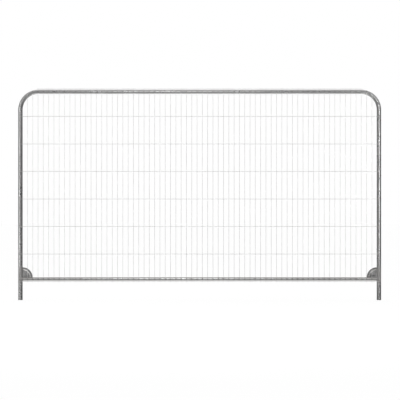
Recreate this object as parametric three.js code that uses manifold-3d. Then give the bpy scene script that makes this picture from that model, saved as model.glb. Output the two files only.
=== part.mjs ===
// Round-top mesh fence panel, millimetres, +Z up.
//
// One galvanised tube, bent into an arch, makes both uprights and the top. A smaller tube, the bottom
// rail, joins the uprights above the legs, with a pressed gusset in each corner. The infill is a welded
// mesh on the front (-Y) side: thin vertical wires against the rails, with thicker line wires in front.
//
// The origin is on the ground, midway between the two open leg ends. The arch lies in the XZ plane.

import * as THREE from 'three';
import { mergeVertices } from 'three/addons/utils/BufferGeometryUtils.js';
import Module from 'manifold-3d';

// Driving dimensions

const PANEL_WIDTH = 3450;
const PANEL_HEIGHT = 2000;
const FRAME_DIAMETER = 41.5;
const RAIL_DIAMETER = 32;
const TUBE_WALL = 1.5;
const BEND_RADIUS = 170; // to the frame tube's centreline
const RAIL_HEIGHT = 200; // from the leg ends to the rail's axis

const VERTICAL_WIRES = 66;
const VERTICAL_PITCH = 50.3;
const VERTICAL_DIAMETER = 3;
const LINE_WIRES = 8;
const LINE_PITCH = 261;
const LINE_DIAMETER = 4;
const LOWEST_LINE = 177; // height of the line wire just under the bottom rail
const WIRE_TAIL = 5; // what a vertical wire runs past the last line wire or tube it is welded to
const LINE_TAIL = 9; // what a line wire runs past the last vertical wire or upright axis it is welded to
const JOGGLE_LENGTH = 20; // along which a line wire's end steps back onto the upright
const JOGGLE_INSET = 45; // from an upright's axis to the middle of the joggle
const JOGGLE_BEND = 20;

const GUSSET_RADIUS = 95;
const GUSSET_THICKNESS = 3;
const GUSSET_Y = -2; // the plate's middle plane
const RIM_WIDTH = 6;
const RIM_DEPTH = 10;
const PRESSED_DEPTH = 2; // how far the field in the middle of the gusset stands out towards the front
const PRESSED_RADIUS = 73;
const PRESSED_INSET = 14; // from the gusset's straight sides to that field

const GAP = 0.3; // left between pieces that are welded together
const WELD_BITE = 0.4; // how far two crossing wires sink into each other
const COPE_OVERRUN = 5; // what a gusset runs into the tubes before it is cut to fit them

// How finely round shapes are divided

const TUBE_SIDES = 24;
const WIRE_SIDES = 8;
const BEND_STEPS = 12;
const JOGGLE_STEPS = 3;
const GUSSET_ARC_STEPS = 14;

// Worked out from the driving dimensions

const frameRadius = FRAME_DIAMETER / 2;
const railRadius = RAIL_DIAMETER / 2;
const uprightX = PANEL_WIDTH / 2 - frameRadius;
const topAxisZ = PANEL_HEIGHT - frameRadius;
const railY = railRadius - frameRadius; // the rail's front is flush with the frame's front
const verticalY = -(frameRadius + GAP + VERTICAL_DIAMETER / 2);
const lineY = verticalY - VERTICAL_DIAMETER / 2 - GAP - LINE_DIAMETER / 2;
const lineEndY = -(frameRadius + GAP + LINE_DIAMETER / 2);
const combLineY = verticalY - VERTICAL_DIAMETER / 2 - LINE_DIAMETER / 2 + WELD_BITE;
const topLineZ = LOWEST_LINE + (LINE_WIRES - 1) * LINE_PITCH;
const bendStartX = uprightX - BEND_RADIUS;
const bendStartZ = topAxisZ - BEND_RADIUS;

// Materials

const tubeZinc = new THREE.MeshStandardMaterial({ color: 0x8f9190, roughness: 0.45, metalness: 0.85 });
const plateZinc = new THREE.MeshStandardMaterial({ color: 0x848684, roughness: 0.55, metalness: 0.8 });
const wireZinc = new THREE.MeshStandardMaterial({ color: 0xc4c7c8, roughness: 0.35, metalness: 0.9 });

// A path of straight runs joined by round bends. It has a station at each end of a straight run and
// a few along each bend, so a section swept along it is fine only where it turns.
class BentPath extends THREE.Curve {
  constructor(corners, bendRadius, stepsPerBend) {
    super();
    this.stations = [];
    const last = corners.length - 1;
    const directions = [];
    for (let i = 0; i < last; i++) {
      directions.push(corners[i + 1].clone().sub(corners[i]).normalize());
    }
    this.addStation(corners[0], directions[0]);
    for (let i = 1; i < last; i++) {
      this.addBend(corners[i], directions[i - 1], directions[i], bendRadius, stepsPerBend);
    }
    this.addStation(corners[last], directions[last - 1]);
  }

  addStation(point, tangent) {
    this.stations.push({ point: point.clone(), tangent: tangent.clone() });
  }

  addBend(corner, incoming, outgoing, radius, steps) {
    const turn = incoming.angleTo(outgoing);
    const inward = outgoing.clone().addScaledVector(incoming, -Math.cos(turn)).normalize();
    const start = corner.clone().addScaledVector(incoming, -radius * Math.tan(turn / 2));
    const centre = start.clone().addScaledVector(inward, radius);
    for (let i = 0; i <= steps; i++) {
      const angle = (turn * i) / steps;
      const point = centre.clone();
      point.addScaledVector(inward, -radius * Math.cos(angle));
      point.addScaledVector(incoming, radius * Math.sin(angle));
      const tangent = incoming.clone().multiplyScalar(Math.cos(angle));
      tangent.addScaledVector(inward, Math.sin(angle));
      this.addStation(point, tangent);
    }
  }

  get steps() {
    return this.stations.length - 1;
  }

  stationAt(u) {
    return this.stations[Math.round(u * this.steps)];
  }

  getPointAt(u, target = new THREE.Vector3()) {
    return target.copy(this.stationAt(u).point);
  }

  getTangentAt(u, target = new THREE.Vector3()) {
    return target.copy(this.stationAt(u).tangent);
  }
}

function polygonPoints(radius, sides) {
  const points = [];
  for (let i = 0; i < sides; i++) {
    const angle = (2 * Math.PI * i) / sides;
    points.push(new THREE.Vector2(radius * Math.cos(angle), radius * Math.sin(angle)));
  }
  return points;
}

function tubeSection(radius, wall) {
  const section = new THREE.Shape(polygonPoints(radius, TUBE_SIDES));
  section.holes.push(new THREE.Path(polygonPoints(radius - wall, TUBE_SIDES)));
  return section;
}

function wireSection(diameter) {
  return new THREE.Shape(polygonPoints(diameter / 2, WIRE_SIDES));
}

function sweep(section, path) {
  return new THREE.ExtrudeGeometry(section, { extrudePath: path, steps: path.steps });
}

function straightPath(from, to) {
  return new BentPath([from, to], 0, 0);
}

// Booleans

const wasm = await Module();
wasm.setup();

function toSolid(geometry) {
  const bare = geometry.index ? geometry.toNonIndexed() : geometry.clone();
  bare.deleteAttribute('normal');
  bare.deleteAttribute('uv');
  const merged = mergeVertices(bare, 1e-4);
  return new wasm.Manifold(
    new wasm.Mesh({
      numProp: 3,
      vertProperties: new Float32Array(merged.attributes.position.array),
      triVerts: new Uint32Array(merged.index.array),
    })
  );
}

function toGeometry(solid) {
  const mesh = solid.getMesh();
  const geometry = new THREE.BufferGeometry();
  geometry.setAttribute('position', new THREE.BufferAttribute(mesh.vertProperties, mesh.numProp));
  geometry.setIndex(new THREE.BufferAttribute(mesh.triVerts, 1));
  geometry.computeVertexNormals();
  return geometry;
}

function railPath() {
  const left = new THREE.Vector3(-uprightX, railY, RAIL_HEIGHT);
  const right = new THREE.Vector3(uprightX, railY, RAIL_HEIGHT);
  return straightPath(left, right);
}

// What an upright and the rail take up, with the welding gap round them, for coping other pieces.

function uprightClearance(side) {
  const foot = new THREE.Vector3(side * uprightX, 0, -GAP);
  const head = new THREE.Vector3(side * uprightX, 0, bendStartZ);
  const section = new THREE.Shape(polygonPoints(frameRadius + GAP, TUBE_SIDES));
  return toSolid(sweep(section, straightPath(foot, head)));
}

function railClearance() {
  const section = new THREE.Shape(polygonPoints(railRadius + GAP, TUBE_SIDES));
  return toSolid(sweep(section, railPath()));
}

// Pieces

function frameTube() {
  const corners = [
    new THREE.Vector3(-uprightX, 0, 0),
    new THREE.Vector3(-uprightX, 0, topAxisZ),
    new THREE.Vector3(uprightX, 0, topAxisZ),
    new THREE.Vector3(uprightX, 0, 0),
  ];
  return sweep(tubeSection(frameRadius, TUBE_WALL), new BentPath(corners, BEND_RADIUS, BEND_STEPS));
}

function bottomRail() {
  const uncut = toSolid(sweep(tubeSection(railRadius, TUBE_WALL), railPath()));
  return toGeometry(uncut.subtract(uprightClearance(-1)).subtract(uprightClearance(1)));
}

// A quarter ring in the gusset's own plane, with the corner that it fills at the origin. Its two straight
// sides run past that corner, so that they can be coped to the tubes.
function quarterRing(outerRadius, innerRadius) {
  const shape = new THREE.Shape();
  shape.moveTo(innerRadius, -COPE_OVERRUN);
  shape.lineTo(outerRadius, -COPE_OVERRUN);
  shape.absarc(0, 0, outerRadius, 0, Math.PI / 2, false);
  shape.lineTo(-COPE_OVERRUN, outerRadius);
  shape.lineTo(-COPE_OVERRUN, innerRadius);
  shape.absarc(0, 0, innerRadius, Math.PI / 2, 0, true);
  return shape;
}

function quarterPlate(radius) {
  const shape = new THREE.Shape();
  shape.moveTo(-COPE_OVERRUN, -COPE_OVERRUN);
  shape.lineTo(radius, -COPE_OVERRUN);
  shape.absarc(0, 0, radius, 0, Math.PI / 2, false);
  shape.lineTo(-COPE_OVERRUN, radius);
  return shape;
}

// The pressed field of the gusset, flat on top: a smaller quarter disc, set in from both straight sides.
function pressedField() {
  const shape = new THREE.Shape();
  const startAngle = Math.asin(PRESSED_INSET / PRESSED_RADIUS);
  shape.moveTo(PRESSED_INSET, PRESSED_INSET);
  shape.absarc(0, 0, PRESSED_RADIUS, startAngle, Math.PI / 2 - startAngle, false);
  return shape;
}

// A slab of that shape, standing in the corner between the rail and the upright on one side. The shape
// is the same along both of its straight sides, so a quarter turn fits it to the other corner.
function cornerSlab(shape, thickness, middleY, side) {
  const slab = new THREE.ExtrudeGeometry(shape, {
    depth: thickness,
    bevelEnabled: false,
    curveSegments: GUSSET_ARC_STEPS,
  });
  slab.rotateX(Math.PI / 2);
  slab.translate(0, middleY + thickness / 2, 0);
  if (side > 0) {
    slab.rotateY(-Math.PI / 2);
  }
  slab.translate(side * (uprightX - frameRadius), 0, RAIL_HEIGHT + railRadius);
  return toSolid(slab);
}

function gusset(side) {
  const rimShape = quarterRing(GUSSET_RADIUS, GUSSET_RADIUS - RIM_WIDTH);
  const swellY = GUSSET_Y - GUSSET_THICKNESS / 2 - PRESSED_DEPTH / 2;
  const plate = cornerSlab(quarterPlate(GUSSET_RADIUS), GUSSET_THICKNESS, GUSSET_Y, side);
  const rim = cornerSlab(rimShape, RIM_DEPTH, GUSSET_Y, side);
  const swell = cornerSlab(pressedField(), PRESSED_DEPTH, swellY, side);
  const sink = cornerSlab(pressedField(), PRESSED_DEPTH, swellY + GUSSET_THICKNESS, side);
  const pressed = plate.add(rim).add(swell).subtract(sink);
  return toGeometry(pressed.subtract(uprightClearance(side)).subtract(railClearance()));
}

// Every line wire but the top one crosses from upright to upright. Its ends step back onto their faces.
function longLineWire(z, middleY) {
  const end = uprightX + LINE_TAIL;
  const outer = uprightX - JOGGLE_INSET + JOGGLE_LENGTH / 2;
  const inner = uprightX - JOGGLE_INSET - JOGGLE_LENGTH / 2;
  const corners = [
    new THREE.Vector3(-end, lineEndY, z),
    new THREE.Vector3(-outer, lineEndY, z),
    new THREE.Vector3(-inner, middleY, z),
    new THREE.Vector3(inner, middleY, z),
    new THREE.Vector3(outer, lineEndY, z),
    new THREE.Vector3(end, lineEndY, z),
  ];
  return sweep(wireSection(LINE_DIAMETER), new BentPath(corners, JOGGLE_BEND, JOGGLE_STEPS));
}

// The top line wire lies just over the top tube and ends with the last vertical wires before the bends.
function topLineWire() {
  const reach = outermostFullWireX() + LINE_TAIL;
  const left = new THREE.Vector3(-reach, lineY, topLineZ);
  const right = new THREE.Vector3(reach, lineY, topLineZ);
  return sweep(wireSection(LINE_DIAMETER), straightPath(left, right));
}

function verticalWireX(index) {
  return (index - (VERTICAL_WIRES - 1) / 2) * VERTICAL_PITCH;
}

function outermostFullWireX() {
  let x = verticalWireX(VERTICAL_WIRES - 1);
  while (x > bendStartX) {
    x -= VERTICAL_PITCH;
  }
  return x;
}

// A vertical wire runs up to the top line wire, or ends on the frame tube where it meets a bend.
function verticalWireTop(x) {
  const intoBend = Math.abs(x) - bendStartX;
  if (intoBend <= 0) {
    return topLineZ + WIRE_TAIL;
  }
  return bendStartZ + Math.sqrt(BEND_RADIUS ** 2 - intoBend ** 2) + WIRE_TAIL;
}

function verticalWire(index) {
  const x = verticalWireX(index);
  const foot = new THREE.Vector3(x, verticalY, LOWEST_LINE - WIRE_TAIL);
  const head = new THREE.Vector3(x, verticalY, verticalWireTop(x));
  return sweep(wireSection(VERTICAL_DIAMETER), straightPath(foot, head));
}

// All the vertical wires, joined by the line wire under the bottom rail that their feet are welded to.
function verticalWiresOnLowestLine() {
  let comb = toSolid(longLineWire(LOWEST_LINE, combLineY));
  for (let index = 0; index < VERTICAL_WIRES; index++) {
    comb = comb.add(toSolid(verticalWire(index)));
  }
  return toGeometry(comb);
}

// The panel

const panel = new THREE.Group();

function addPiece(name, geometry, material) {
  const mesh = new THREE.Mesh(geometry, material);
  mesh.name = name;
  panel.add(mesh);
}

addPiece('frame_tube', frameTube(), tubeZinc);
addPiece('bottom_rail', bottomRail(), tubeZinc);
addPiece('gusset_left', gusset(-1), plateZinc);
addPiece('gusset_right', gusset(1), plateZinc);
addPiece('vertical_wires_on_line_wire_1', verticalWiresOnLowestLine(), wireZinc);
for (let number = 2; number < LINE_WIRES; number++) {
  const height = LOWEST_LINE + (number - 1) * LINE_PITCH;
  addPiece(`line_wire_${number}`, longLineWire(height, lineY), wireZinc);
}
addPiece(`line_wire_${LINE_WIRES}`, topLineWire(), wireZinc);

export default panel;
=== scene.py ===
import math
import random

import bmesh
import bpy
import numpy as np
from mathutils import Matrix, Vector


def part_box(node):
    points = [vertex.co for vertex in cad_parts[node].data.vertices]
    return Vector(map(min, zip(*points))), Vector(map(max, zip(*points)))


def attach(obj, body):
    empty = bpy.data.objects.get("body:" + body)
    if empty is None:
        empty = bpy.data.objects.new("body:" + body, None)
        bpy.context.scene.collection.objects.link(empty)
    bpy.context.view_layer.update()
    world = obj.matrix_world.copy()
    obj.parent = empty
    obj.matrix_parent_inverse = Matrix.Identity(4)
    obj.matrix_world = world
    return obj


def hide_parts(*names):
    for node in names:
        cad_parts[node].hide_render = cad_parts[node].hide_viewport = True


# A round-top mesh fence panel of galvanised steel, in metres, +Z up, its mesh on the -Y side. Places
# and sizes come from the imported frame's boxes. Each tube, plate, wire and weld is rebuilt as a round,
# smooth piece.

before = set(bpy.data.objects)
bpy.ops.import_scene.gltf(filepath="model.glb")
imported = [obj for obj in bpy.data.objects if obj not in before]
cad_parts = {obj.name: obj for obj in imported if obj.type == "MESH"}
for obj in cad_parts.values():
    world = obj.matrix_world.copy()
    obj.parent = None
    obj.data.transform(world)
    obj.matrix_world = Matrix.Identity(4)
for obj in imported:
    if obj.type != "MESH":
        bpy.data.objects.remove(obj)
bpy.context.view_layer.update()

# Sizes

_, frame_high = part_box("frame_tube")
rail_low, rail_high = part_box("bottom_rail")
line_2_low, line_2_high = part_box("line_wire_2")
_, line_3_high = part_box("line_wire_3")
_, top_line_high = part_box("line_wire_8")
comb_low, comb_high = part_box("vertical_wires_on_line_wire_1")
gusset_low, gusset_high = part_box("gusset_right")

TUBE_WALL = 0.0015
BEND_RADIUS = 0.170
BEND_FLATTENING = 0.01  # how much thinner the tube gets across a bend
VERTICAL_WIRES = 66
VERTICAL_PITCH = 0.0503
VERTICAL_RADIUS = 0.0015
WIRE_TAIL = 0.005  # how far a vertical wire runs on past the axis of a bend
LINE_WIRES = 8
JOGGLE_LENGTH = 0.020  # how long the step is that brings a line wire back to the uprights
JOGGLE_INSET = 0.045  # how far in from an upright's axis the middle of that step lies
WIRE_WANDER = 0.0004  # how far a vertical wire strays between two line wires
GUSSET_RADIUS = 0.095
GUSSET_THICKNESS = 0.003
RIM_WIDTH = 0.006
PRESSED_RADIUS = 0.077
PRESSED_INSET = 0.011  # how far the pressed field stays off the gusset's straight edges
PRESSED_DEPTH = 0.002
PRESSED_SLOPE = 0.008  # how wide the slope round the field is
GUSSET_CORNER_RADIUS = 0.002  # the profile stops short of the corner, so that no face is too thin
CUT_BEVEL = 0.0003
RAIL_BEAD_RADIUS = 0.0028
RAIL_BEAD_LIFT = 0.006  # added to the upright's radius in squares, which lifts the bead by about 1 mm
STITCH_RADIUS = 0.0021
STITCH_LIFT = 0.0006
STITCH_SPANS = ((0.006, 0.032), (0.058, 0.084))  # from the gusset's corner, along each straight edge
NUGGET_ON_TUBE = (0.0020, 0.0011, 0.0036)  # half sizes of the weld metal squeezed out round a vertical wire
NUGGET_ON_WIRE = (0.0024, 0.0010, 0.0024)
NUGGET_ON_UPRIGHT = (0.0042, 0.0013, 0.0026)
TUBE_SEAM = 0.42  # where round a tube its lengthwise seam lies, as a share of a turn from the front

FRAME_RADIUS = frame_high.y
UPRIGHT_X = frame_high.x - FRAME_RADIUS
TOP_AXIS_Z = frame_high.z - FRAME_RADIUS
BEND_START_X = UPRIGHT_X - BEND_RADIUS
BEND_START_Z = TOP_AXIS_Z - BEND_RADIUS
RAIL_RADIUS = (rail_high.z - rail_low.z) / 2
RAIL_Z = (rail_high.z + rail_low.z) / 2
RAIL_Y = (rail_high.y + rail_low.y) / 2
LINE_RADIUS = (line_2_high.z - line_2_low.z) / 2
LINE_2_Z = (line_2_high.z + line_2_low.z) / 2
LINE_PITCH = line_3_high.z - line_2_high.z
LINE_Y = line_2_low.y + LINE_RADIUS
LINE_END_Y = line_2_high.y - LINE_RADIUS
LINE_END_X = line_2_high.x
VERTICAL_Y = comb_high.y - VERTICAL_RADIUS
GUSSET_Y = (gusset_low.y + gusset_high.y) / 2
RIM_DEPTH = gusset_high.y - gusset_low.y

TUBE_SIDES = 64
WIRE_SIDES = 12
WIRE_END_STATIONS = (0.15, 0.6)  # in wire radii from a wire's end
WIRE_END_RADII = (0.72, 0.92, 1.0)  # in wire radii, at the end and at those stations
BEAD_SIDES = 10
SHARP_ANGLE = math.radians(40)

# Materials

TUBE_SPANGLE = 0.0065  # how large the zinc's crystals are
PLATE_SPANGLE = 0.008
# Painted shadow: the dark marks round each wire's weld on a tube are heat tint and the wire's contact
# shadow.
BURN_AND_SHADOW_INNER = 0.004  # how far from a wire's middle the zinc is burnt and painted in shadow all through
BURN_AND_SHADOW_OUTER = 0.0095  # and how far away it is untouched
BURN_AND_SHADOW_STRETCH = 0.40  # under 1, a burn and its painted shadow reach further along the wire than beside it
BURN_AND_SHADOW_FRONT_Y = -0.014  # a tube is burnt and painted in shadow on its front, in full from here forwards
BURN_AND_SHADOW_BACK_Y = -0.004
WIRE_BURN_AND_SHADE_INNER = 0.009  # how far up and down from a rail's axis a wire is burnt and painted in shade all through
WIRE_BURN_AND_SHADE_OUTER = 0.017
SPRAY_INNER = 0.08  # how far from a lower corner the repair zinc covers all
SPRAY_OUTER = 0.13
SPRAY_CENTRE_IN = 0.03  # where the middle of the spray lies, inwards from the upright's axis
SPRAY_CENTRE_UP = 0.04  # and upwards from the rail's
GRIME_TOP = 0.16
DUST_AND_SHADE_START = 0.009  # how far above or below the rail's axis the dust and painted shade begin
DUST_AND_SHADE_FULL = 0.018
PAINTED_HIGHLIGHT_INNER = 0.003  # how far to each side of the pressed field's edge the painted highlight reaches
PAINTED_HIGHLIGHT_OUTER = 0.008

# Light and camera

SURROUND = ((0.0, 0.15), (0.17, 0.60), (0.45, 0.64), (0.72, 2.0))  # (how steep a direction is, grey)
SIDE_SHARE = 0.6  # how much the steepness counts out to the sides
BEHIND_EXTRA = 0.4  # and how much more it counts straight behind the panel, or less in front of it
FLOOR_SHARE = 1.1  # how much the steepness counts looking straight down
FLOOR_FALL = 2.2  # how fast that falls away towards the horizon
FLOOR_REACH = 40.0
FLOOR_GLOW = 0.862  # with the light that falls on the floor, this makes it as white as the backdrop
PICTURE_SPAN = 3.8034  # how much of the panel's plane fills the picture
CAMERA_X = 0.003
CAMERA_Z = 0.9505

dice = random.Random(11)


# Shells: a shell is (points, faces, sweep coordinates of each face's corners). The sweep coordinates
# run from 0 to 1 round a tube and in metres along it.


def unit(vectors):
    return vectors / np.linalg.norm(vectors, axis=-1, keepdims=True)


def tangents_of(points, closed=False):
    if closed:
        runs = unit(np.roll(points, -1, axis=0) - points)
        return unit(runs + np.roll(runs, 1, axis=0))
    runs = unit(points[1:] - points[:-1])
    before = np.vstack([runs[:1], runs])
    after = np.vstack([runs, runs[-1:]])
    return unit(before + after)


def lengths_along(points):
    """How far along a line each of its points lies."""
    steps = np.linalg.norm(np.diff(points, axis=0), axis=1)
    return np.concatenate([[0.0], np.cumsum(steps)])


def rings_along(points, reference, radii, sides, flattening=None, closed=False):
    """A ring of points round each station. reference says where a ring's first point lies."""
    along = tangents_of(points, closed)
    reference = np.broadcast_to(np.asarray(reference, float), points.shape)
    first = unit(reference - (reference * along).sum(1, keepdims=True) * along)
    second = np.cross(along, first)
    radii = np.broadcast_to(np.asarray(radii, float), (len(points),))
    across = radii if flattening is None else radii * (1 - flattening)
    angles = np.arange(sides) * 2 * math.pi / sides
    rings = points[:, None, :]
    rings = rings + np.cos(angles)[None, :, None] * (radii[:, None] * first)[:, None, :]
    return rings + np.sin(angles)[None, :, None] * (across[:, None] * second)[:, None, :]


def shell_of_rings(rings, loop=False):
    """Skins a row of rings. A loop joins the last ring to the first, and an open row gets flat ends."""
    count, sides = rings.shape[:2]
    lengths = lengths_along(rings.mean(1))
    lengths = np.append(lengths, lengths[-1])
    faces = []
    sweep = []
    for k in range(count if loop else count - 1):
        for j in range(sides):
            near = (k * sides + j, k * sides + (j + 1) % sides)
            far_ring = (k + 1) % count * sides
            far = (far_ring + (j + 1) % sides, far_ring + j)
            faces.append(near + far)
            low, high = j / sides, (j + 1) / sides
            here, there = lengths[k], lengths[k + 1]
            sweep.append([(low, here), (high, here), (high, there), (low, there)])
    if not loop:
        for start in (0, (count - 1) * sides):
            faces.append(tuple(range(start, start + sides)))
            sweep.append([(0.0, 0.0)] * sides)
    return rings.reshape(-1, 3), faces, sweep


def hollow_rings(points, reference, radius, wall, sides, flattening=0.0):
    """The rings of an open tube: down the outside and back up the inside, with its cut edges broken."""
    flattening = np.broadcast_to(np.asarray(flattening, float), (len(points),))
    directions = tangents_of(points)
    first_edge = points[:1] + directions[:1] * CUT_BEVEL
    last_edge = points[-1:] - directions[-1:] * CUT_BEVEL
    broken = np.vstack([points[:1], first_edge, points[1:-1], last_edge, points[-1:]])
    flat = np.concatenate([flattening[:1], flattening, flattening[-1:]])
    outer_radii = np.full(len(broken), radius)
    outer_radii[[0, -1]] -= CUT_BEVEL
    outer = rings_along(broken, reference, outer_radii, sides, flat)
    inner = rings_along(points, reference, radius - wall, sides, flattening)
    return np.concatenate([outer, inner[::-1]])


def ball_template():
    mesh = bmesh.new()
    bmesh.ops.create_icosphere(mesh, subdivisions=2, radius=1.0)
    points = np.array([v.co for v in mesh.verts])
    faces = [tuple(v.index for v in face.verts) for face in mesh.faces]
    mesh.free()
    return points, faces


BALL_POINTS, BALL_FACES = ball_template()


def nugget(centre, size):
    """A small squeezed-out lump of weld metal, a little uneven."""
    unevenness = 0.1
    stretch = np.array([s * dice.uniform(1 - unevenness, 1 + unevenness) for s in size])
    lean = np.array([dice.uniform(-unevenness, unevenness) for _ in range(3)])
    points = BALL_POINTS * stretch * (1 + (BALL_POINTS @ lean)[:, None])
    sweep = [[(0.0, 0.0)] * 3 for _ in BALL_FACES]
    return points + np.array(centre), BALL_FACES, sweep


def bead(points, reference, radius, closed=False):
    """A weld bead along a line: overlapping ripples of slightly uneven height."""
    ripple_pitch = 0.0028
    ripple_height = 0.12
    valley = 0.92
    unevenness = 0.03
    lengths = lengths_along(points)
    ripple = np.abs(np.sin(math.pi * lengths / ripple_pitch)) * ripple_height
    radii = radius * (valley + ripple + np.array([dice.uniform(-unevenness, unevenness) for _ in lengths]))
    if not closed:
        # Over its last radius at either end, the bead rounds off.
        ends = np.minimum(lengths, lengths[-1] - lengths) / radius
        radii = radii * np.sqrt(np.clip(ends * (2 - ends), 0.15, 1)) ** np.where(ends < 1, 1, 0)
    rings = rings_along(points, reference, radii, BEAD_SIDES, closed=closed)
    return shell_of_rings(rings, loop=closed)


def make_piece(name, shells, material, replaces):
    points = []
    faces = []
    sweep = []
    offset = 0
    for shell_points, shell_faces, shell_sweep in shells:
        points.append(shell_points)
        faces += [tuple(i + offset for i in face) for face in shell_faces]
        sweep += shell_sweep
        offset += len(shell_points)
    mesh = bpy.data.meshes.new(name)
    mesh.from_pydata(np.concatenate(points).tolist(), [], faces)
    layer = mesh.uv_layers.new(name="Sweep")
    layer.uv.foreach_set("vector", np.array([c for corners in sweep for c in corners], np.float32).ravel())
    turn_faces_outward(mesh)
    mesh.polygons.foreach_set("use_smooth", [True] * len(mesh.polygons))
    mesh.set_sharp_from_angle(angle=SHARP_ANGLE)
    mesh.materials.append(material)
    piece = bpy.data.objects.new(name, mesh)
    bpy.context.scene.collection.objects.link(piece)
    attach(piece, "root")
    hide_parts(*replaces)
    return piece


def turn_faces_outward(mesh):
    work = bmesh.new()
    work.from_mesh(mesh)
    bmesh.ops.recalc_face_normals(work, faces=work.faces)
    work.to_mesh(mesh)
    work.free()


# Materials


class Shader:
    """A node material of one Principled shader, with short names for the nodes that feed it."""

    def __init__(self, name):
        self.material = bpy.data.materials.new(name)
        self.material.use_nodes = True
        self.tree = self.material.node_tree
        self.surface = self.tree.nodes["Principled BSDF"]
        self.place = self.tree.nodes.new("ShaderNodeTexCoord").outputs["Object"]
        sweep_map = self.tree.nodes.new("ShaderNodeUVMap")
        sweep_map.uv_map = "Sweep"
        self.sweep = sweep_map.outputs["UV"]

    def feed(self, socket, value):
        if isinstance(value, bpy.types.NodeSocket):
            self.tree.links.new(value, socket)
        else:
            socket.default_value = value

    def set(self, name, value):
        self.feed(self.surface.inputs[name], value)

    def scaled(self, coordinates, scale):
        node = self.tree.nodes.new("ShaderNodeMapping")
        node.inputs["Scale"].default_value = scale
        self.feed(node.inputs["Vector"], coordinates)
        return node.outputs["Vector"]

    def noise(self, coordinates, scale, detail=3.0, roughness=0.5):
        node = self.tree.nodes.new("ShaderNodeTexNoise")
        self.feed(node.inputs["Vector"], coordinates)
        node.inputs["Scale"].default_value = scale
        node.inputs["Detail"].default_value = detail
        node.inputs["Roughness"].default_value = roughness
        return node.outputs["Fac"]

    def crystals(self, coordinates, scale):
        """One random value for each cell of a cracked-up pattern, such as the spangle of zinc."""
        node = self.tree.nodes.new("ShaderNodeTexVoronoi")
        self.feed(node.inputs["Vector"], coordinates)
        node.inputs["Scale"].default_value = scale
        split = self.tree.nodes.new("ShaderNodeSeparateColor")
        self.feed(split.inputs["Color"], node.outputs["Color"])
        return split.outputs["Red"]

    def part(self, coordinates, axis):
        node = self.tree.nodes.new("ShaderNodeSeparateXYZ")
        self.feed(node.inputs["Vector"], coordinates)
        return node.outputs[axis]

    def math(self, operation, first, second=0.0):
        node = self.tree.nodes.new("ShaderNodeMath")
        node.operation = operation
        self.feed(node.inputs[0], first)
        self.feed(node.inputs[1], second)
        return node.outputs["Value"]

    def between(self, value, low, high, to_low=0.0, to_high=1.0):
        """Turns low..high into to_low..to_high, held flat outside."""
        node = self.tree.nodes.new("ShaderNodeMapRange")
        node.interpolation_type = "SMOOTHSTEP"
        self.feed(node.inputs["Value"], value)
        node.inputs["From Min"].default_value = low
        node.inputs["From Max"].default_value = high
        node.inputs["To Min"].default_value = to_low
        node.inputs["To Max"].default_value = to_high
        return node.outputs["Result"]

    def mix(self, share, first, second):
        node = self.tree.nodes.new("ShaderNodeMix")
        node.data_type = "RGBA"
        self.feed(node.inputs["Factor"], share)
        self.feed(node.inputs["A"], first)
        self.feed(node.inputs["B"], second)
        return node.outputs["Result"]

    def layer(self, colour, cover, strength, tint):
        """Lays a tint over a colour, with the given strength where cover is 1."""
        return self.mix(self.math("MULTIPLY", cover, strength), colour, tint)

    def patches(self, scale, detail, roughness, low, high):
        """Ragged spots: 1 inside them, 0 between them."""
        return self.between(self.noise(self.place, scale, detail, roughness), low, high)

    def unevenness(self, scale, detail, reach, roughness=0.6):
        """A small length that varies from place to place, to break up the edge of a zone."""
        return self.math("MULTIPLY", self.noise(self.place, scale, detail, roughness), reach)

    def off_place(self, value, place):
        return self.math("ABSOLUTE", self.math("SUBTRACT", value, place))

    def off_nearest(self, value, start, pitch):
        """How far a value is from the nearest of a row of even places."""
        steps = self.math("DIVIDE", self.math("SUBTRACT", value, start), pitch)
        part_step = self.math("FRACT", self.math("ADD", steps, 0.5))
        return self.math("MULTIPLY", self.off_place(part_step, 0.5), pitch)

    def distance(self, first, second):
        squares = self.math("ADD", self.math("POWER", first, 2.0), self.math("POWER", second, 2.0))
        return self.math("SQRT", squares)

    def bump(self, height, strength, distance):
        node = self.tree.nodes.new("ShaderNodeBump")
        node.inputs["Strength"].default_value = strength
        node.inputs["Distance"].default_value = distance
        self.feed(node.inputs["Height"], height)
        self.set("Normal", node.outputs["Normal"])


def grey(level, warmth=0.0):
    return (level * (1 + warmth), level, level * (1 - warmth), 1.0)


def spangled_zinc(shader, level, crystal_size):
    """Dull zinc: a crystal pattern under cloudy patches, in a grey round the given level."""
    crystal = shader.crystals(shader.place, 1 / crystal_size)
    cloud = shader.noise(shader.place, 9.0, 4.0, 0.6)
    colour = shader.mix(crystal, grey(level * 0.86), grey(level * 1.14))
    shade = shader.between(cloud, 0.35, 0.65, 0.0, 0.45)
    return shader.mix(shade, colour, grey(level * 0.80, 0.01)), crystal, cloud


def off_rails(shader, z):
    """How far a height is from the nearer of the bottom rail's axis and the top tube's."""
    return shader.math("MINIMUM", shader.off_place(z, RAIL_Z), shader.off_place(z, TOP_AXIS_Z))


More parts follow.
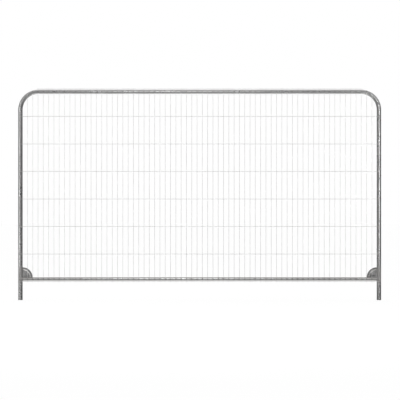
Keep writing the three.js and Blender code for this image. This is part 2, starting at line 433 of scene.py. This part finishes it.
def weld_burns_and_painted_shadows(shader):
    """1 where a wire's weld has burnt the zinc on the front of a tube and the wire's contact shadow is
    painted along it, 0 away from it.
    """
    x = shader.part(shader.place, "X")
    y = shader.part(shader.place, "Y")
    z = shader.part(shader.place, "Z")
    beside_wire = shader.off_nearest(x, VERTICAL_PITCH / 2, VERTICAL_PITCH)
    along_wire = shader.math("MULTIPLY", off_rails(shader, z), BURN_AND_SHADOW_STRETCH)
    on_rails = shader.distance(beside_wire, along_wire)
    beside_line = shader.off_nearest(z, LINE_2_Z, LINE_PITCH)
    off_upright = shader.off_place(shader.math("ABSOLUTE", x), UPRIGHT_X)
    on_uprights = shader.distance(beside_line, shader.math("MULTIPLY", off_upright, BURN_AND_SHADOW_STRETCH))
    nearest = shader.math("MINIMUM", on_rails, on_uprights)
    nearest = shader.math("ADD", nearest, shader.unevenness(scale=320.0, detail=3.0, reach=0.004))
    front = shader.between(y, BURN_AND_SHADOW_FRONT_Y, BURN_AND_SHADOW_BACK_Y, 1.0, 0.0)
    return shader.math("MULTIPLY", shader.between(nearest, BURN_AND_SHADOW_INNER, BURN_AND_SHADOW_OUTER, 1.0, 0.0), front)


def near_corner_welds(shader):
    """How near a point is to a lower corner, where the welds were sprayed: 1 close by, 0 away."""
    x = shader.part(shader.place, "X")
    z = shader.part(shader.place, "Z")
    sideways = shader.off_place(shader.math("ABSOLUTE", x), UPRIGHT_X - SPRAY_CENTRE_IN)
    upward = shader.off_place(z, RAIL_Z + SPRAY_CENTRE_UP)
    ragged = shader.unevenness(scale=60.0, detail=4.0, reach=0.05)
    reached = shader.math("ADD", shader.distance(sideways, upward), ragged)
    return shader.between(reached, SPRAY_INNER, SPRAY_OUTER, 1.0, 0.0)


def scratches(shader, around, along):
    """Thin broken lines, in sweep coordinates, so many round the tube and so many to a metre."""
    lines = shader.noise(shader.scaled(shader.sweep, (around, along, 1.0)), 1.0, 1.0, 0.3)
    unbroken = shader.patches(scale=24.0, detail=3.0, roughness=0.6, low=0.55, high=0.66)
    thin = shader.between(shader.off_place(lines, 0.5), 0.0, 0.012, 1.0, 0.0)
    return shader.math("MULTIPLY", thin, unbroken)


def dust_and_shade_along_rail(shader):
    """1 along the top and the underside of the bottom rail: dust and splashes, and painted shade."""
    off_axis = shader.off_place(shader.part(shader.place, "Z"), RAIL_Z)
    ragged = shader.unevenness(scale=45.0, detail=5.0, reach=0.010, roughness=0.7)
    return shader.between(shader.math("ADD", off_axis, ragged), DUST_AND_SHADE_START, DUST_AND_SHADE_FULL)


def grime_near_ground(shader):
    low = shader.between(shader.part(shader.place, "Z"), 0.0, GRIME_TOP, 1.0, 0.0)
    spots = shader.patches(scale=55.0, detail=5.0, roughness=0.7, low=0.42, high=0.62)
    return shader.math("MULTIPLY", low, spots)


def roughness_of_zinc(shader, cloud, crystal, smoothest, roughest):
    """Cloudy between two limits, and a little rougher from crystal to crystal."""
    clouded = shader.between(cloud, 0.3, 0.7, smoothest, roughest)
    return shader.math("ADD", clouded, shader.math("MULTIPLY", crystal, 0.06))


def tube_material(name, level, with_dust_and_shade):
    shader = Shader(name)
    colour, crystal, cloud = spangled_zinc(shader, level, TUBE_SPANGLE)
    runs = shader.noise(shader.scaled(shader.sweep, (60.0, 1.5, 1.0)), 4.0, 4.0, 0.7)
    colour = shader.mix(shader.between(runs, 0.55, 0.72, 0.0, 0.40), colour, grey(0.30))
    off_seam = shader.off_place(shader.part(shader.sweep, "X"), TUBE_SEAM)
    seam = shader.between(off_seam, 0.006, 0.014, 1.0, 0.0)
    bloom = shader.patches(scale=38.0, detail=5.0, roughness=0.65, low=0.58, high=0.70)
    specks = shader.patches(scale=240.0, detail=3.0, roughness=0.6, low=0.66, high=0.72)
    sprayed = near_corner_welds(shader)
    scuffs = scratches(shader, around=2.0, along=150.0)
    scratched = shader.math("MAXIMUM", scuffs, scratches(shader, around=40.0, along=2.5))
    colour = shader.layer(colour, seam, 0.5, grey(0.33))
    colour = shader.layer(colour, bloom, 0.45, grey(0.62))
    colour = shader.layer(colour, specks, 0.5, grey(0.22, 0.04))
    colour = shader.layer(colour, grime_near_ground(shader), 0.20, (0.22, 0.20, 0.175, 1.0))
    colour = shader.layer(colour, sprayed, 0.6, grey(0.36, 0.03))
    colour = shader.layer(colour, scratched, 0.6, grey(0.66))
    # Painted shadow: the weld marks darken the tube as heat tint and as the wires' contact shadows.
    colour = shader.layer(colour, weld_burns_and_painted_shadows(shader), 0.65, grey(0.15, 0.06))
    dull_bloom = shader.math("MULTIPLY", bloom, 0.6)
    dull = shader.math("MAXIMUM", dull_bloom, shader.math("MULTIPLY", sprayed, 0.8))
    if with_dust_and_shade:
        dust_and_shade = dust_and_shade_along_rail(shader)
        # Painted shade: the rail's top and underside are darkened, partly as dust and partly as shade.
        colour = shader.layer(colour, dust_and_shade, 0.85, grey(0.24, 0.05))
        dull = shader.math("MAXIMUM", dull, dust_and_shade)
    shader.set("Base Color", colour)
    shader.set("Metallic", shader.between(dull, 0.0, 1.0, 1.0, 0.45))
    roughness = roughness_of_zinc(shader, cloud, crystal, 0.23, 0.32)
    shader.set("Roughness", shader.math("ADD", roughness, shader.math("MULTIPLY", dull, 0.22)))
    peel = shader.noise(shader.place, 420.0, 3.0, 0.6)
    height = shader.math("ADD", peel, shader.math("MULTIPLY", runs, 0.5))
    height = shader.math("SUBTRACT", height, shader.math("MULTIPLY", scratched, 0.4))
    height = shader.math("ADD", height, shader.math("MULTIPLY", seam, 0.6))
    shader.bump(height, strength=0.28, distance=0.0006)
    return shader.material


def edge_of_pressed_field(shader, highlight_amount):
    """The given amount on the curved edge of a gusset's pressed field, where a highlight is painted, 0 away
    from it.
    """
    x = shader.math("ABSOLUTE", shader.part(shader.place, "X"))
    along = shader.math("SUBTRACT", x, UPRIGHT_X - FRAME_RADIUS)
    up = shader.math("SUBTRACT", shader.part(shader.place, "Z"), RAIL_Z + RAIL_RADIUS)
    off_edge = shader.off_place(shader.distance(along, up), PRESSED_RADIUS - PRESSED_SLOPE / 2)
    ragged = shader.unevenness(scale=130.0, detail=4.0, reach=0.004)
    reached = shader.math("ADD", off_edge, ragged)
    return shader.between(reached, PAINTED_HIGHLIGHT_INNER, PAINTED_HIGHLIGHT_OUTER, highlight_amount, 0.0)


def plate_material(name, level, highlight_amount):
    """The gussets' zinc, with a highlight of the given amount painted round the edge of the pressed field.
    """
    shader = Shader(name)
    colour, crystal, cloud = spangled_zinc(shader, level, PLATE_SPANGLE)
    stain = shader.between(shader.noise(shader.place, 70.0, 5.0, 0.7), 0.45, 0.65, 0.0, 0.45)
    colour = shader.mix(stain, colour, grey(level * 0.62, 0.04))
    bloom = shader.patches(scale=120.0, detail=5.0, roughness=0.65, low=0.58, high=0.70)
    specks = shader.patches(scale=260.0, detail=3.0, roughness=0.6, low=0.65, high=0.72)
    colour = shader.layer(colour, bloom, 0.5, grey(0.60, 0.02))
    colour = shader.layer(colour, specks, 0.5, grey(0.18, 0.06))
    # Painted highlight: a light ring round the pressed field, where its slope would catch the light.
    colour = shader.mix(edge_of_pressed_field(shader, highlight_amount), colour, grey(0.86, 0.02))
    shader.set("Base Color", colour)
    shader.set("Metallic", shader.between(bloom, 0.0, 1.0, 0.9, 0.5))
    shader.set("Roughness", roughness_of_zinc(shader, cloud, crystal, 0.34, 0.46))
    shader.bump(shader.noise(shader.place, 350.0, 3.0, 0.6), strength=0.3, distance=0.0006)
    return shader.material


def wire_material(name, level):
    """Drawn wire: fine lines along it, and darker where it was welded to the rails, as heat tint and
    painted shade.
    """
    shader = Shader(name)
    cloud = shader.noise(shader.place, 14.0, 4.0, 0.6)
    colour = shader.mix(shader.between(cloud, 0.35, 0.65), grey(level), grey(level * 0.83, 0.01))
    drawn = shader.noise(shader.scaled(shader.sweep, (14.0, 3.0, 1.0)), 5.0, 3.0, 0.6)
    colour = shader.mix(shader.between(drawn, 0.55, 0.7, 0.0, 0.4), colour, grey(level * 0.66))
    off_axis = off_rails(shader, shader.part(shader.place, "Z"))
    # Painted shade: near the rails the wire is darkened for heat tint and for the shade it sits in there.
    burnt_and_shaded = shader.between(off_axis, WIRE_BURN_AND_SHADE_INNER, WIRE_BURN_AND_SHADE_OUTER, 0.75, 0.0)
    shader.set("Base Color", shader.mix(burnt_and_shaded, colour, grey(0.22, 0.05)))
    shader.set("Metallic", 0.8)
    shader.set("Roughness", shader.between(drawn, 0.3, 0.7, 0.30, 0.44))
    shader.bump(drawn, strength=0.15, distance=0.0003)
    return shader.material


def weld_material():
    shader = Shader("sprayed_weld")
    patch = shader.noise(shader.place, 160.0, 5.0, 0.7)
    colour = shader.mix(shader.between(patch, 0.4, 0.6), grey(0.50, 0.02), grey(0.32, 0.03))
    shader.set("Base Color", colour)
    shader.set("Metallic", 0.4)
    shader.set("Roughness", shader.between(patch, 0.3, 0.7, 0.5, 0.68))
    shader.bump(shader.noise(shader.place, 900.0, 3.0, 0.6), strength=0.4, distance=0.0005)
    return shader.material


# Tubes


def arc(centre, radius, start_degrees, end_degrees, steps):
    """Points along an arc in the XZ plane, in degrees from +X towards +Z."""
    angles = np.radians(np.linspace(start_degrees, end_degrees, steps + 1))
    flat = np.zeros_like(angles)
    return np.array(centre) + np.stack([radius * np.cos(angles), flat, radius * np.sin(angles)], 1)


def arch_path():
    """The frame tube's axis, from the left leg's end over the top to the right leg's, and its
    flattening at each point."""
    straight_steps = 14
    bend_steps = 30
    left_z = np.linspace(0.0, BEND_START_Z, straight_steps, endpoint=False)
    left = np.stack([np.full_like(left_z, -UPRIGHT_X), 0 * left_z, left_z], 1)
    top_x = np.linspace(-BEND_START_X, BEND_START_X, 2 * straight_steps)[1:-1]
    top = np.stack([top_x, 0 * top_x, np.full_like(top_x, TOP_AXIS_Z)], 1)
    left_bend = arc((-BEND_START_X, 0.0, BEND_START_Z), BEND_RADIUS, 180, 90, bend_steps)
    right_bend = arc((BEND_START_X, 0.0, BEND_START_Z), BEND_RADIUS, 90, 0, bend_steps)
    right = (left * (-1, 1, 1))[::-1]
    points = np.concatenate([left, left_bend, top, right_bend, right])
    bend = np.sin(np.linspace(0, math.pi, bend_steps + 1)) * BEND_FLATTENING
    flattening = np.concatenate([0 * left_z, bend, 0 * top_x, bend, 0 * left_z])
    return points, flattening


def build_arch(material):
    points, flattening = arch_path()
    rings = hollow_rings(points, (0, -1, 0), FRAME_RADIUS, TUBE_WALL, TUBE_SIDES, flattening)
    shells = [shell_of_rings(rings, loop=True)]
    return make_piece("arch_tube", shells, material, ["frame_tube"])


def upright_face_x(y, lift=0.0):
    """How far from the panel's middle an upright's inner surface lies, at a given depth. A lift is
    added in squares, and takes the line off the surface."""
    return UPRIGHT_X - np.sqrt(np.maximum(FRAME_RADIUS**2 - y**2, 0.0) + lift**2)


def build_rail(material):
    stations = np.linspace(-1, 1, 30) * UPRIGHT_X
    points = np.stack([stations, np.full_like(stations, RAIL_Y), np.full_like(stations, RAIL_Z)], 1)
    outer = rings_along(points, (0, -1, 0), RAIL_RADIUS, TUBE_SIDES)
    inner = rings_along(points, (0, -1, 0), RAIL_RADIUS - TUBE_WALL, TUBE_SIDES)
    for rings in (outer, inner):
        rings[0, :, 0] = -upright_face_x(rings[0, :, 1])
        rings[-1, :, 0] = upright_face_x(rings[-1, :, 1])
    shells = [shell_of_rings(np.concatenate([outer, inner[::-1]]), loop=True)]
    return make_piece("lower_rail_tube", shells, material, ["bottom_rail"])


# Gussets


def gusset_profile():
    """The gusset's section from its corner out to its rim, as (distance from the corner, depth)."""
    front = GUSSET_Y - GUSSET_THICKNESS / 2
    back = GUSSET_Y + GUSSET_THICKNESS / 2
    rim_front = GUSSET_Y - RIM_DEPTH / 2
    rim_back = GUSSET_Y + RIM_DEPTH / 2
    rim_inner = GUSSET_RADIUS - RIM_WIDTH
    edge = 0.0012
    plate = np.linspace(GUSSET_CORNER_RADIUS, rim_inner - 2 * edge, 88)
    outline = [(r, front) for r in plate]
    outline += [(rim_inner - edge / 2, front - edge / 2), (rim_inner, rim_front + edge)]
    outline += [(rim_inner + edge, rim_front), (GUSSET_RADIUS - edge, rim_front)]
    outline += [(GUSSET_RADIUS - edge / 3, rim_front + edge / 3), (GUSSET_RADIUS, rim_front + edge)]
    outline += [(GUSSET_RADIUS, rim_back - edge), (GUSSET_RADIUS - edge / 3, rim_back - edge / 3)]
    outline += [(GUSSET_RADIUS - edge, rim_back), (rim_inner + edge, rim_back)]
    outline += [(rim_inner, rim_back - edge), (rim_inner - edge / 2, back + edge / 2)]
    outline += [(r, back) for r in plate[::-1]]
    return np.array(outline)


def smooth_step(value):
    value = np.clip(value, 0, 1)
    return value * value * (3 - 2 * value)


def gusset_rings():
    """The profile turned through a quarter circle, with the field in the middle pressed out to
    the front. It runs on a little into the tubes at both ends."""
    profile = gusset_profile()
    overrun = math.radians(1.5)
    rings = []
    for angle in np.linspace(-overrun, math.pi / 2 + overrun, 110):
        along, up = profile[:, 0] * math.cos(angle), profile[:, 0] * math.sin(angle)
        pressed = smooth_step((PRESSED_RADIUS - profile[:, 0]) / PRESSED_SLOPE)
        pressed = pressed * smooth_step((along - PRESSED_INSET) / PRESSED_SLOPE)
        pressed = pressed * smooth_step((up - PRESSED_INSET) / PRESSED_SLOPE)
        rings.append(np.stack([along, profile[:, 1] - pressed * PRESSED_DEPTH, up], 1))
    return np.array(rings)


def side_name(side):
    return "left" if side < 0 else "right"


def build_gusset(side, material):
    name = side_name(side)
    rings = gusset_rings() * (-side, 1, 1)
    rings = rings + np.array([side * (UPRIGHT_X - FRAME_RADIUS), 0.0, RAIL_Z + RAIL_RADIUS])
    shells = [shell_of_rings(rings)]
    return make_piece(f"gusset_plate_{name}", shells, material, [f"gusset_{name}"])


# Welds between the tubes and the gussets


def rail_bead(side):
    """The bead all round the rail's end, on the line where it meets the upright."""
    turn = np.linspace(0, 2 * math.pi, 180, endpoint=False)
    y = RAIL_Y + RAIL_RADIUS * np.cos(turn)
    z = RAIL_Z + RAIL_RADIUS * np.sin(turn)
    x = side * upright_face_x(y, lift=RAIL_BEAD_LIFT)
    outward = np.stack([0 * y, np.cos(turn), np.sin(turn)], 1)
    return bead(np.stack([x, y, z], 1), outward, RAIL_BEAD_RADIUS, closed=True)


def gusset_stitches(side):
    """Short beads along both straight edges of a gusset, on its front and its back."""
    corner_x = UPRIGHT_X - FRAME_RADIUS
    corner_z = RAIL_Z + RAIL_RADIUS
    steps = np.linspace(0, 1, 34)
    shells = []
    for face in (-1, 1):
        y = GUSSET_Y + face * (GUSSET_THICKNESS / 2 + STITCH_LIFT)
        rail_top = RAIL_Z + math.sqrt(RAIL_RADIUS**2 - (y - RAIL_Y) ** 2)
        for start, end in STITCH_SPANS:
            run = start + (end - start) * steps
            still = np.ones_like(run)
            upright_line = np.stack([side * upright_face_x(y) * still, y * still, corner_z + run], 1)
            rail_line = np.stack([side * (corner_x - run), y * still, rail_top * still], 1)
            shells.append(bead(upright_line, (0, 1, 0), STITCH_RADIUS))
            shells.append(bead(rail_line, (0, 1, 0), STITCH_RADIUS))
    return shells


def build_corner_welds(side, material):
    name = side_name(side)
    shells = [rail_bead(side)] + gusset_stitches(side)
    replaced = [f"gusset_{name}"]
    return make_piece(f"corner_welds_{name}", shells, material, replaced)


# Wires


def vertical_x(index):
    return (index - (VERTICAL_WIRES - 1) / 2) * VERTICAL_PITCH


def line_z(number):
    return LINE_2_Z + (number - 2) * LINE_PITCH


def reaches_top_line(x):
    return abs(x) <= BEND_START_X


def top_axis_z(x):
    """The height of the frame tube's axis over a point along the panel, on the top or on a bend."""
    into_bend = max(abs(x) - BEND_START_X, 0.0)
    return BEND_START_Z + math.sqrt(BEND_RADIUS**2 - into_bend**2)


def rounded_ends(lengths, radius):
    """Radii that shrink over the last bit at both ends, as on a sheared wire."""
    from_end = np.minimum(lengths, lengths[-1] - lengths)
    places = radius * np.array([0.0, *WIRE_END_STATIONS])
    return radius * np.interp(from_end, places, WIRE_END_RADII)


def wire_shell(points, reference, radius):
    radii = rounded_ends(lengths_along(points), radius)
    return shell_of_rings(rings_along(points, reference, radii, WIRE_SIDES))


def with_end_stations(values, radius):
    """Adds stations close to both ends, where a wire's end is rounded."""
    close = np.array(WIRE_END_STATIONS) * radius
    ends = [values[:1], values[0] + close, values[1:-1], values[-1] - close[::-1], values[-1:]]
    return np.concatenate(ends)


def vertical_wire_shells(index):
    x = vertical_x(index)
    low = comb_low.z
    high = comb_high.z if reaches_top_line(x) else top_axis_z(x) + WIRE_TAIL
    bays = np.arange(low, high, LINE_PITCH / 4)
    heights = with_end_stations(np.append(bays, high), VERTICAL_RADIUS)
    bow = np.sin((heights - line_z(1)) / LINE_PITCH * math.pi) ** 2
    sideways = dice.uniform(-WIRE_WANDER, WIRE_WANDER)
    outward = dice.uniform(-WIRE_WANDER, WIRE_WANDER) / 2
    points = np.stack([x + bow * sideways, VERTICAL_Y + bow * outward, heights], 1)
    shells = [wire_shell(points, (0, -1, 0), VERTICAL_RADIUS)]
    contact_y = (VERTICAL_Y + VERTICAL_RADIUS - FRAME_RADIUS) / 2
    for height in (RAIL_Z, top_axis_z(x)):
        shells.append(nugget((x, contact_y, height), NUGGET_ON_TUBE))
    return shells


def build_vertical_wire(index, material):
    name = f"vertical_wire_{index + 1:02d}"
    replaced = ["vertical_wires_on_line_wire_1"]
    return make_piece(name, vertical_wire_shells(index), material, replaced)


def line_wire_path(number):
    if number == LINE_WIRES:
        x = np.linspace(-1, 1, 24) * top_line_high.x
        return np.stack([x, np.full_like(x, LINE_Y), np.full_like(x, line_z(number))], 1)
    joggle_start = UPRIGHT_X - JOGGLE_INSET - JOGGLE_LENGTH / 2
    half = np.concatenate([[0.0], np.linspace(0.1, joggle_start, 12, endpoint=False)])
    joggle = joggle_start + np.linspace(0, 1, 9) * JOGGLE_LENGTH
    half = np.concatenate([half, joggle, [UPRIGHT_X, LINE_END_X]])
    step_back = smooth_step((half - joggle_start) / JOGGLE_LENGTH)
    depth = LINE_Y + (LINE_END_Y - LINE_Y) * step_back
    x = np.concatenate([-half[:0:-1], half])
    y = np.concatenate([depth[:0:-1], depth])
    return np.stack([x, y, np.full_like(x, line_z(number))], 1)


def line_wire_shells(number):
    points = line_wire_path(number)
    ends = with_end_stations(points[:, 0], LINE_RADIUS)
    depths = np.interp(ends, points[:, 0], points[:, 1])
    points = np.stack([ends, depths, np.full_like(ends, line_z(number))], 1)
    shells = [wire_shell(points, (0, -1, 0), LINE_RADIUS)]
    contact_y = (VERTICAL_Y - VERTICAL_RADIUS + LINE_Y + LINE_RADIUS) / 2
    for index in range(VERTICAL_WIRES):
        x = vertical_x(index)
        if number < LINE_WIRES or reaches_top_line(x):
            shells.append(nugget((x, contact_y, line_z(number)), NUGGET_ON_WIRE))
    if number < LINE_WIRES:
        end_contact = (LINE_END_Y + LINE_RADIUS - FRAME_RADIUS) / 2
        for side in (-1, 1):
            shells.append(nugget((side * UPRIGHT_X, end_contact, line_z(number)), NUGGET_ON_UPRIGHT))
    return shells


def build_line_wire(number, material):
    node = "vertical_wires_on_line_wire_1" if number == 1 else f"line_wire_{number}"
    return make_piece(f"round_line_wire_{number}", line_wire_shells(number), material, [node])


# Stage


def build_floor():
    """A pale plane that the camera sees and that neither lights nor shades the panel."""
    mesh = bpy.data.meshes.new("floor")
    corners = [(x * FLOOR_REACH, y * FLOOR_REACH, 0) for x, y in ((-1, -1), (1, -1), (1, 1), (-1, 1))]
    mesh.from_pydata(corners, [], [(0, 1, 2, 3)])
    floor = bpy.data.objects.new("floor", mesh)
    bpy.context.scene.collection.objects.link(floor)
    shader = Shader("pale_floor")
    shader.set("Base Color", grey(0.15))
    shader.set("Roughness", 1.0)
    shader.set("Specular IOR Level", 0.0)
    shader.set("Emission Color", grey(1.0))
    shader.set("Emission Strength", FLOOR_GLOW)
    mesh.materials.append(shader.material)
    floor.visible_diffuse = False
    floor.visible_glossy = False
    floor.visible_shadow = False


def build_world():
    """White where the camera looks. What lights the panel is a grey surround, lighter overhead,
    underfoot and behind."""
    world = bpy.data.worlds.new("studio")
    world.use_nodes = True
    bpy.context.scene.world = world
    tree = world.node_tree
    tree.nodes.clear()
    seen = tree.nodes.new("ShaderNodeBackground")
    seen.inputs["Color"].default_value = grey(1.0)
    seen.inputs["Strength"].default_value = 1.0
    direction = tree.nodes.new("ShaderNodeTexCoord")
    split = tree.nodes.new("ShaderNodeSeparateXYZ")
    tree.links.new(direction.outputs["Generated"], split.inputs["Vector"])

    def math_node(operation, first, second):
        node = tree.nodes.new("ShaderNodeMath")
        node.operation = operation
        for socket, value in zip(node.inputs, (first, second)):
            if isinstance(value, bpy.types.NodeSocket):
                tree.links.new(value, socket)
            else:
                socket.default_value = value
        return node.outputs["Value"]

    downward = math_node("MAXIMUM", math_node("MULTIPLY", split.outputs["Z"], -1.0), 0.0)
    underfoot = math_node("MULTIPLY", math_node("POWER", downward, FLOOR_FALL), FLOOR_SHARE)
    steepness = math_node("MAXIMUM", split.outputs["Z"], underfoot)
    extra = math_node("MULTIPLY", split.outputs["Y"], BEHIND_EXTRA)
    share = math_node("MULTIPLY", steepness, math_node("ADD", extra, SIDE_SHARE))
    ramp = tree.nodes.new("ShaderNodeValToRGB")
    ramp.color_ramp.interpolation = "EASE"
    for place, level in SURROUND[1:-1]:
        ramp.color_ramp.elements.new(place).color = grey(level)
    for end in (0, -1):
        ramp.color_ramp.elements[end].position = SURROUND[end][0]
        ramp.color_ramp.elements[end].color = grey(SURROUND[end][1])
    tree.links.new(share, ramp.inputs["Fac"])
    light = tree.nodes.new("ShaderNodeBackground")
    tree.links.new(ramp.outputs["Color"], light.inputs["Color"])
    light.inputs["Strength"].default_value = 1.0
    path = tree.nodes.new("ShaderNodeLightPath")
    mix = tree.nodes.new("ShaderNodeMixShader")
    output = tree.nodes.new("ShaderNodeOutputWorld")
    tree.links.new(path.outputs["Is Camera Ray"], mix.inputs["Fac"])
    tree.links.new(light.outputs["Background"], mix.inputs[1])
    tree.links.new(seen.outputs["Background"], mix.inputs[2])
    tree.links.new(mix.outputs["Shader"], output.inputs["Surface"])


def soft_box(name, place, target, size, brightness, spread_degrees):
    """A rectangular light. Its energy grows with its area, so that its size doesn't change how bright
    it looks."""
    light = bpy.data.lights.new(name, "AREA")
    light.shape = "RECTANGLE"
    light.size, light.size_y = size
    light.energy = math.pi * light.size * light.size_y * brightness
    light.spread = math.radians(spread_degrees)
    box = bpy.data.objects.new(name, light)
    box.location = place
    box.rotation_euler = (Vector(target) - Vector(place)).to_track_quat("-Z", "Y").to_euler()
    bpy.context.scene.collection.objects.link(box)


def build_lights():
    left = -UPRIGHT_X
    right = UPRIGHT_X
    middle = frame_high.z / 2
    soft_box("front_box", (-0.4, -6.0, 3.4), (-0.4, 0, middle), (1.8, 1.8), 2.8, spread_degrees=120)
    soft_box("left_box", (-3.55, -2.35, 1.35), (left, 0, 1.35), (0.6, 3.0), 1.1, spread_degrees=80)
    soft_box("right_box", (2.55, -2.85, 1.4), (right, 0, 1.4), (0.3, 2.5), 0.95, spread_degrees=45)
    soft_box("low_box", (0.2, -4.5, -0.15), (0.2, 0, 0.1), (3.6, 0.8), 0.65, spread_degrees=120)
    soft_box("far_left_box", (-6.0, -0.6, -0.05), (0, 0, 0.1), (2.0, 0.6), 0.9, spread_degrees=120)


def build_camera():
    """Level and straight on, with a long lens."""
    camera = bpy.data.cameras.new("camera")
    camera.lens = 120
    camera.sensor_width = 36
    camera.clip_end = 200
    stand = bpy.data.objects.new("camera", camera)
    stand.location = (CAMERA_X, -PICTURE_SPAN * camera.lens / camera.sensor_width, CAMERA_Z)
    stand.rotation_euler = (math.radians(90), 0, 0)
    bpy.context.scene.collection.objects.link(stand)
    bpy.context.scene.camera = stand


def build_panel():
    frame_zinc = tube_material("galvanised_frame_tube", 0.43, with_dust_and_shade=False)
    rail_zinc = tube_material("galvanised_rail", 0.58, with_dust_and_shade=True)
    vertical = wire_material("galvanised_vertical_wire", 0.97)
    line = wire_material("galvanised_line_wire", 0.72)
    weld = weld_material()
    build_arch(frame_zinc)
    build_rail(rail_zinc)
    # Lit and shaded copies: the left gusset is painted lighter and with a stronger highlight, the right
    # darker, for how the lamps fall on them.
    build_gusset(-1, plate_material("gusset_zinc_left", 0.38, 0.85))
    build_gusset(1, plate_material("gusset_zinc_right", 0.26, 0.30))
    for side in (-1, 1):
        build_corner_welds(side, weld)
    for number in range(1, LINE_WIRES + 1):
        build_line_wire(number, line)
    for index in range(VERTICAL_WIRES):
        build_vertical_wire(index, vertical)


build_camera()
build_world()
build_lights()
build_floor()
build_panel()
bpy.context.scene.view_settings.view_transform = "Standard"
